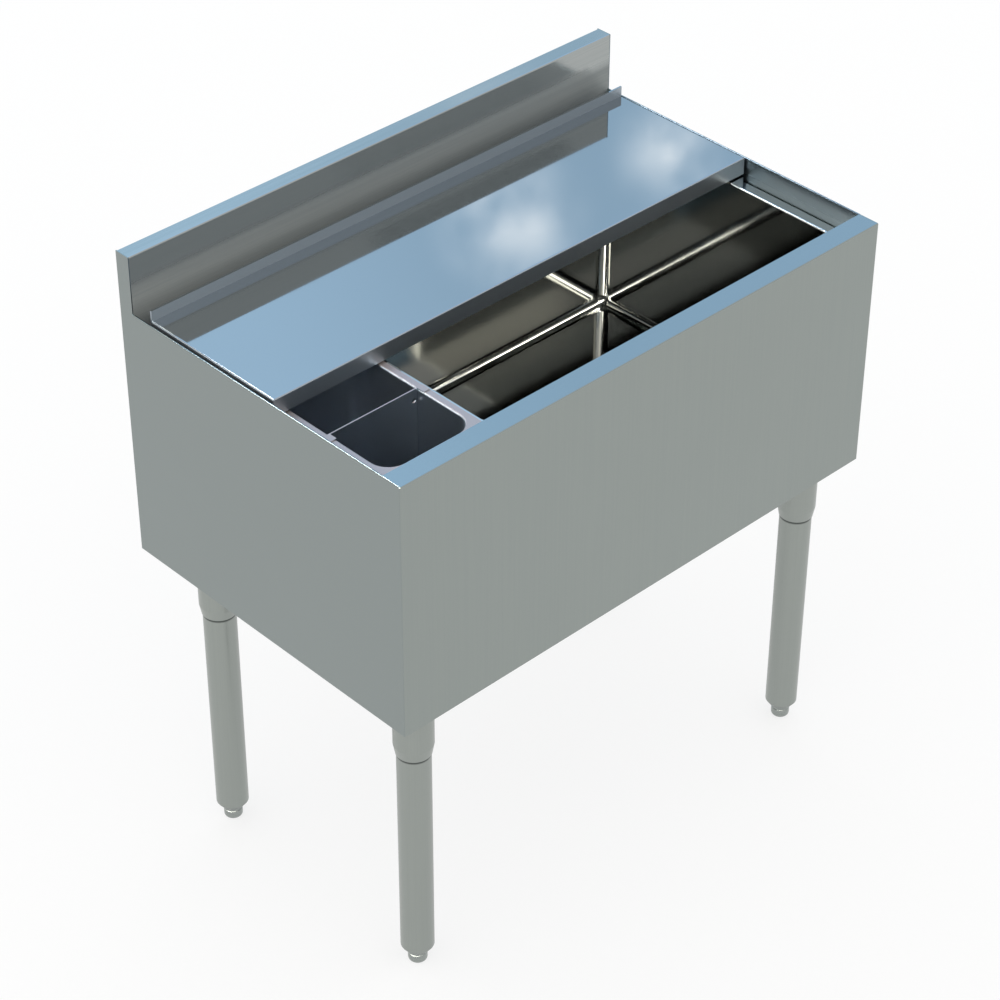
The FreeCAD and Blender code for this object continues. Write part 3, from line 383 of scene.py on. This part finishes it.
# %% Give every solid its finish
FINISH = {
    "outer_sheet": shell_steel, "deck_sheet": deck_steel, "liner_sheet": liner_steel,
    "well_sheet": well_steel, "galvanised_sheet": galvanised_steel, "leg_steel": leg_steel,
    "foot_steel": turned_steel, "insert_plastic": insert_nylon, "foam": wall_foam,
    "fastener_steel": zinc_steel, "drain_steel": turned_steel, "drain_brass": drain_brass,
    "gasket_rubber": gasket_rubber,
}
slots = {part["node"]: part["material_slot"] for part in frame["record"]["subparts"]}
for node, slot in slots.items():
    mesh = nodes[node].data
    mesh.materials.clear()
    mesh.materials.append(FINISH[slot])
nodes["backsplash"].data.materials[0] = splash_steel
print(len(slots), "solids have a finish")

# %% [markdown]
# The feet, bolts and screws are plain rounds in the CAD model. Real ones have threads, hexagons
# and driver recesses, which are all forms made on a lathe or pressed into one. So one function
# turns a row of radii about an axis, and a row may have an outline that is not a circle.

# %% Turning functions
QUARTER = math.tau / 4
SHARP_EDGE = math.radians(35)


def turned(rows, segments):
    """Points and faces of a form about Z. A row is radius, height and, if not round, its outline."""
    points, faces = [], []
    for radius, height, *outline in rows:
        for step in range(segments):
            turn = math.tau * step / segments
            reach = outline[0](radius, height, turn) if outline else radius
            points.append(Vector((reach * math.cos(turn), reach * math.sin(turn), height)) * MM)
    for start in range(0, len(points) - segments, segments):
        for step in range(segments):
            after = (step + 1) % segments
            faces.append((start + step, start + after,
                          start + segments + after, start + segments + step))
    faces.append(tuple(reversed(range(segments))))
    faces.append(tuple(range(len(points) - segments, len(points))))
    return points, faces


def hexagon(radius, height, turn):
    """Outline of a hexagon with this radius at its corners."""
    sixth = math.tau / 6
    return radius * math.cos(sixth / 2) / math.cos((turn + sixth / 2) % sixth - sixth / 2)


def fit(name, form, places, node, body):
    """One piece from a form at several places. It stands for a CAD solid and takes its finish."""
    points, faces = form
    mesh = bpy.data.meshes.new(name)
    count = len(points)
    mesh.from_pydata([place @ point for place in places for point in points], [],
                     [[corner + copy * count for corner in face]
                      for copy in range(len(places)) for face in faces])
    mesh.shade_smooth()
    mesh.set_sharp_from_angle(angle=SHARP_EDGE)
    mesh.materials.append(nodes[node].data.materials[0])
    piece = bpy.data.objects.new(name, mesh)
    scene.collection.objects.link(piece)
    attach(piece, body)
    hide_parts(node)
    print(name, len(mesh.vertices), "points")


print("a 10 mm hexagon is", round(2 * hexagon(5, 0, QUARTER), 2), "mm across its flats")

# %% [markdown]
# A bullet foot is a steel plug with a rounded base and a threaded stem. Turning the foot screws the
# stem in or out of the insert and levels the bin. The thread shows when a foot is let down, so it
# is a real helix: at each height the radius swings once round the turn. A profile could be swept
# round the stem instead, but rows of radii keep the foot one closed skin.

# %% Threaded bullet feet
LEG_CORNERS = ("front_left", "front_right", "rear_left", "rear_right")
FOOT_RADIUS, BASE_ROUND, ROUND_STEPS, FOOT_TOP = 12, 4, 6, 19
STEM_RADIUS, STEM_TOP, THREAD_PITCH, THREAD_DEPTH, ROWS_PER_TURN = 7.95, 64, 1.75, 0.9, 4


def thread(radius, height, turn):
    """Outline of a screw thread with this outer radius."""
    ramp = (height / THREAD_PITCH - turn / math.tau) % 1
    return radius - THREAD_DEPTH * abs(2 * ramp - 1)


base = [(FOOT_RADIUS - BASE_ROUND + BASE_ROUND * math.sin(QUARTER * step / ROUND_STEPS),
         BASE_ROUND - BASE_ROUND * math.cos(QUARTER * step / ROUND_STEPS))
        for step in range(ROUND_STEPS + 1)]
groove = [(FOOT_RADIUS, 12.6), (FOOT_RADIUS - 0.5, 13), (FOOT_RADIUS - 0.5, 14), (FOOT_RADIUS, 14.4)]
shoulder = [(FOOT_RADIUS, FOOT_TOP - 0.8), (FOOT_RADIUS - 0.8, FOOT_TOP),
            (STEM_RADIUS - THREAD_DEPTH, FOOT_TOP)]
row_count = int((STEM_TOP - FOOT_TOP) / THREAD_PITCH * ROWS_PER_TURN) - 3
stem = [(STEM_RADIUS, FOOT_TOP + 0.4 + step * THREAD_PITCH / ROWS_PER_TURN, thread)
        for step in range(row_count)]
tip = [(STEM_RADIUS - THREAD_DEPTH, STEM_TOP - 0.8), (STEM_RADIUS - 2, STEM_TOP)]
foot = turned(base + groove + shoulder + stem + tip, segments=28)
for corner in LEG_CORNERS:
    low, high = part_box("bullet_foot_" + corner)
    middle = Matrix.Translation(((low.x + high.x) / 2, (low.y + high.y) / 2, low.z))
    fit("threaded_foot_" + corner, foot, [middle], "bullet_foot_" + corner, "foot_" + corner)

# %% [markdown]
# Each leg socket hangs on four hexagon bolts, set in a square round the tube. Their heads have the
# rounded-off corners of a cold-headed bolt. A six-sided cylinder would be simpler, but its corners
# would look cut with a knife.

# %% Socket bolts
BOLT_REACH = 24 * MM
bolt = [(4.3, 0), (5.3, 0.5, hexagon), (5.5, 0.9, hexagon), (5.5, 4, hexagon), (3, 4), (3, 14.6),
        (2.4, 15.2)]
legs = []
for corner in LEG_CORNERS:
    low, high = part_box("leg_tube_" + corner)
    legs.append(Vector(((low.x + high.x) / 2, (low.y + high.y) / 2, 0)))
low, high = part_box("socket_bolts")
places = [Matrix.Translation(leg + Vector((x * BOLT_REACH, y * BOLT_REACH, low.z)))
          for leg in legs for x in (-1, 1) for y in (-1, 1)]
fit("hexagon_bolts", turned(bolt, segments=24), places, "socket_bolts", "cabinet")

# %% [markdown]
# A set screw at the back of each socket grips the tube. It has no head, only a hexagon socket for a
# key, so its rows run up the outside and then down into the socket.

# %% Set screws
KEY_RADIUS, KEY_DEPTH, GRUB_LENGTH, GRUB_SETBACK = 1.75, 1.9, 4.5, 20.75 * MM
grub = [(2.2, 0), (3, 0.8), (3, GRUB_LENGTH - 0.4), (2.6, GRUB_LENGTH),
        (KEY_RADIUS, GRUB_LENGTH, hexagon), (KEY_RADIUS, GRUB_LENGTH - KEY_DEPTH, hexagon)]
low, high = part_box("socket_set_screws")
backward = Matrix.Rotation(-QUARTER, 4, "X")
places = [Matrix.Translation(leg + Vector((0, GRUB_SETBACK, (low.z + high.z) / 2))) @ backward
          for leg in legs]
fit("socket_grub_screws", turned(grub, segments=24), places, "socket_set_screws", "cabinet")

# %% [markdown]
# Eight pan head screws hold the rear panel. Their cross recess is a polar outline: each arm ends at
# a set length, and between the arms the outline follows the arm's straight sides inwards. A cut with
# a solid cross would work too, but the outline needs no second solid.

# %% Rear panel screws
ARM_LENGTH, ARM_HALF_WIDTH, HEAD_RADIUS, SCREW_ROWS = 2.3, 0.5, 4.5, 4


def cross(radius, height, turn):
    """Outline of a cross recess, this large against its mouth."""
    off_arm = abs((turn + QUARTER / 2) % QUARTER - QUARTER / 2)
    side = ARM_HALF_WIDTH / max(math.sin(off_arm), 0.01)
    return radius * min(ARM_LENGTH, side)


low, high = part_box("rear_panel_screws")
length = (high.y - low.y) / MM
shank = [(0.5, 0), (2.1, 1.8), (2.1, length - 2)]
head = [(HEAD_RADIUS, length - 2), (HEAD_RADIUS, length - 1.4), (4.25, length - 0.8),
        (3.7, length - 0.35), (3.0, length - 0.05), (2.6, length)]
recess = [(1, length, cross), (0.55, length - 1.5, cross)]
inset = HEAD_RADIUS * MM
rise = (high.z - low.z - 2 * inset) / (SCREW_ROWS - 1)
places = [Matrix.Translation((x, low.y, low.z + inset + row * rise)) @ backward
          for x in (low.x + inset, high.x - inset) for row in range(SCREW_ROWS)]
fit("pan_head_screws", turned(shank + head + recess, segments=48), places, "rear_panel_screws",
    "cabinet")

# %% [markdown]
# The camera stands in front and to the left, well above the bin, with a long lens. Its place and the
# cabinet's proportions were worked out together from the straight edges, and the scale is estimated.
# Looking through the camera and nudging it would take longer and never fit all the edges at once.

# %% Camera
camera = bpy.data.objects.new("camera", bpy.data.cameras.new("camera"))
camera.data.sensor_width = 36
camera.data.lens = 105.16
camera.location = (-1.98336, -2.05713, 2.57274)
camera.rotation_euler = [math.radians(angle) for angle in (53.0239, -0.1712, -43.6540)]
scene.collection.objects.link(camera)
scene.camera = camera
print("camera", round(camera.location.length, 2), "m from the origin")

# %% [markdown]
# The bin stands in a white studio. Metal shows its surroundings, so the surroundings are what
# lights it: a white room all round, a cool panel behind and above that the deck mirrors, and a few
# soft lamps whose small images make the bright lines along the coves and hems. In an even white
# room of strength 1 a matt surface shows its colour as it is written.

# %% White room
scene.view_settings.view_transform = "Standard"
room = bpy.data.worlds.new("white_room")
scene.world = room
room.use_nodes = True
tree = room.node_tree
tree.nodes.clear()
white = add(tree, "Background", {"Color": linear("#FFFFFF"), "Strength": 1.0})
add(tree, "OutputWorld", {"Surface": white})
print("white room at strength", white.inputs["Strength"].default_value)

# %% [markdown]
# The floor is pale paint. A real one greys under the object and far away, so where the camera or a
# mirror looks at it, three quarters of what shows is plain white and the rest keeps the shadow.

# %% Floor
WHITE_SHARE = 0.75


def flat_sheet(name, width, depth):
    """A flat rectangle about the origin, which is not part of the object."""
    x, y = width / 2, depth / 2
    mesh = bpy.data.meshes.new(name)
    mesh.from_pydata([(-x, -y, 0), (x, -y, 0), (x, y, 0), (-x, y, 0)], [], [(0, 1, 2, 3)])
    sheet = bpy.data.objects.new(name, mesh)
    scene.collection.objects.link(sheet)
    return sheet


floor = flat_sheet("floor", 40, 40)
paint, tree, shader, place = begin("floor_paint", roughness=0.8, base_color=linear("#FBFBFA"))
glow = add(tree, "Emission", {"Color": linear("#FFFFFF"), "Strength": 1.0})
ray = add(tree, "LightPath").outputs
direct = add(tree, "Math", [ray["Is Camera Ray"], ray["Is Glossy Ray"]], operation="MAXIMUM")
seen = add(tree, "Math", [direct, ray["Is Transmission Ray"]], operation="MAXIMUM")
share = add(tree, "Math", [seen, WHITE_SHARE], operation="MULTIPLY")
both = add(tree, "MixShader", [share, shader, glow])
tree.links.new(both.outputs[0], tree.nodes["Material Output"].inputs["Surface"])
floor.data.materials.append(paint)
print("floor keeps", 1 - WHITE_SHARE, "of the shadow")

# %% [markdown]
# The deck, the rail and the top of the splash mirror one patch of sky behind the bin, with two soft
# clouds in it. An area lamp can't have a pattern, so the patch is a sheet with a glowing material.
# It stands where a level mirror turns the camera's look, and only mirroring surfaces see it.

# %% Sheet of the sky panel
def aim(thing, target, azimuth, elevation, distance):
    """Stand a lamp, panel or card off a target, facing it, where only mirroring surfaces see it.

    Azimuth 0 is in front of the bin and 90 at its right.
    """
    around, up = math.radians(azimuth), math.radians(elevation)
    away = Vector((math.sin(around) * math.cos(up), -math.cos(around) * math.cos(up), math.sin(up)))
    thing.location = Vector(target) + away * distance
    thing.rotation_euler = away.to_track_quat("Z", "Y").to_euler()
    thing.visible_camera = False
    thing.visible_diffuse = False


DECK_MIDDLE = (0, 0, 0.75)
panel = flat_sheet("sky_panel", 6.4, 5.6)
aim(panel, DECK_MIDDLE, 136.5, 34.5, 3.4)
print("panel", [round(c, 2) for c in panel.location])

# %% [markdown]
# A cloud is a soft ball round a place on the sheet, torn by a noise. The rail mirrors the upper end
# of the sheet, which is set a little bluer and brighter, and the light falls off along X to suit the
# deck. A picture of a sky would also do, but then the clouds could not be placed one by one.

# %% Clouds and blue of the sky panel
CLOUDS = [((2.37, 1.91, 2.38), 0.17), ((2.03, 2.10, 2.49), 0.22)]
UPWARD, UPPER_END = (0.34, -0.32, 1), (2.6, 2.85)
paint, tree, shader, place = begin("sky_panel_light")
spot = add(tree, "NewGeometry").outputs["Position"]
swirl = add(tree, "TexNoise", {"Vector": spot, "Scale": 10.0, "Detail": 5.0})
shares = []
for centre, radius in CLOUDS:
    reach = add(tree, "VectorMath", [spot, centre], operation="DISTANCE").outputs["Value"]
    shares.append(add(tree, "MapRange", [reach, radius, 0, 0, 1], **SOFT))
together = add(tree, "Math", shares, operation="MAXIMUM")
torn = add(tree, "MapRange", [swirl, 0.2, 0.75, 0, 1], **SOFT)
cloud = add(tree, "Math", [together, torn], operation="MULTIPLY")
height = add(tree, "VectorMath", [spot, UPWARD], operation="DOT_PRODUCT").outputs["Value"]
high = add(tree, "MapRange", [height, *UPPER_END, 0, 1], **SOFT)
print(len(CLOUDS), "clouds")

# %% Light of the sky panel
FALLS_OFF, STRENGTHS, UPPER_LIFT = (1.4, 2.1), (1.6, 1.27), 0.3
blue = add(tree, "Mix", {0: high, COLOUR_A: linear("#BFE0FA"), COLOUR_B: linear("#B8DBFF")},
           data_type="RGBA")
colour = add(tree, "Mix", {0: cloud, COLOUR_A: blue.outputs[COLOUR_OUT],
                           COLOUR_B: linear("#FFFFFF")}, data_type="RGBA")
along = add(tree, "SeparateXYZ", [spot]).outputs["X"]
clear = add(tree, "MapRange", [along, *FALLS_OFF, *STRENGTHS], **SOFT)
lifted = add(tree, "Math", [high, UPPER_LIFT, clear], operation="MULTIPLY_ADD")
bright = add(tree, "Math", [cloud, lifted], operation="ADD")
glow = add(tree, "Emission", {"Color": colour.outputs[COLOUR_OUT], "Strength": bright})
tree.links.new(glow.outputs[0], tree.nodes["Material Output"].inputs["Surface"])
panel.data.materials.append(paint)
print(paint.name, "has", len(tree.nodes), "nodes")

# %% [markdown]
# Seen from the camera, three walls that meet send a ray back where it came from, so the inside of
# the bin mirrors what is round the camera. A soft lamp beside the camera lights the flat walls, and
# the stronger ones stand where only the round coves and hems turn far enough to mirror them. Matt
# surfaces have the room's even light already, so the lamps are for the mirroring steel alone.

# %% Soft lamps
BIN_CORNER, LAMP_DISTANCE = (0.33, 0.08, 0.53), 3.2
LAMPS = {
    # name: azimuth, elevation, width in m, height in m, power in W, colour
    "wall_lamp": (-35.5, 34, 0.93, 1.34, 4.5, "#FFF6E6"),
    "upright_cove_lamp": (-86, 33, 3.0, 0.8, 115, "#FFFAF0"),
    "floor_cove_lamp": (-49, 45, 0.4, 0.85, 27, "#FFFAF0"),
    "side_cove_lamp": (-24, 47, 1.14, 0.67, 32, "#FFFAF0"),
    "hem_lamp": (-155, 54, 0.5, 0.5, 16, "#FFFFFF"),
}
for name, (azimuth, elevation, width, height, power, code) in LAMPS.items():
    light = bpy.data.lights.new(name, "AREA")
    light.shape = "RECTANGLE"
    light.size, light.size_y = width, height
    light.energy = power
    light.color = linear(code)[:3]
    lamp = bpy.data.objects.new(name, light)
    scene.collection.objects.link(lamp)
    aim(lamp, BIN_CORNER, azimuth, elevation, LAMP_DISTANCE)
print(len(LAMPS), "lamps")

# %% [markdown]
# In a studio, a card held between bright metal and the light turns one face darker than the next.
# The floor of the bin and the walls send their rays back to places a hand apart, so a narrow grey
# card that leans along the line between them darkens the floor alone. The left end of the floor
# misses one of the walls and looks to the other side, so it needs a card there too.

# %% Grey cards for the bin's floor
CARD_WIDTH, CARD_DISTANCE = 0.2, 3.1
CARDS = {
    # name: azimuth, elevation, length in m, lean in degrees
    "left_card": (-47.7, 35.2, 0.9, 26.6),
    "right_card": (41.9, 37.65, 0.5, -26.6),
}
paper, tree, shader, place = begin("grey_card_paper", roughness=0.9, base_color=linear("#C6CACC"))
for name, (azimuth, elevation, length, lean) in CARDS.items():
    card = flat_sheet(name, length, CARD_WIDTH)
    aim(card, BIN_CORNER, azimuth, elevation, CARD_DISTANCE)
    card.rotation_euler.rotate_axis("Z", math.radians(lean))
    card.data.materials.append(paper)
print(len(CARDS), "cards")
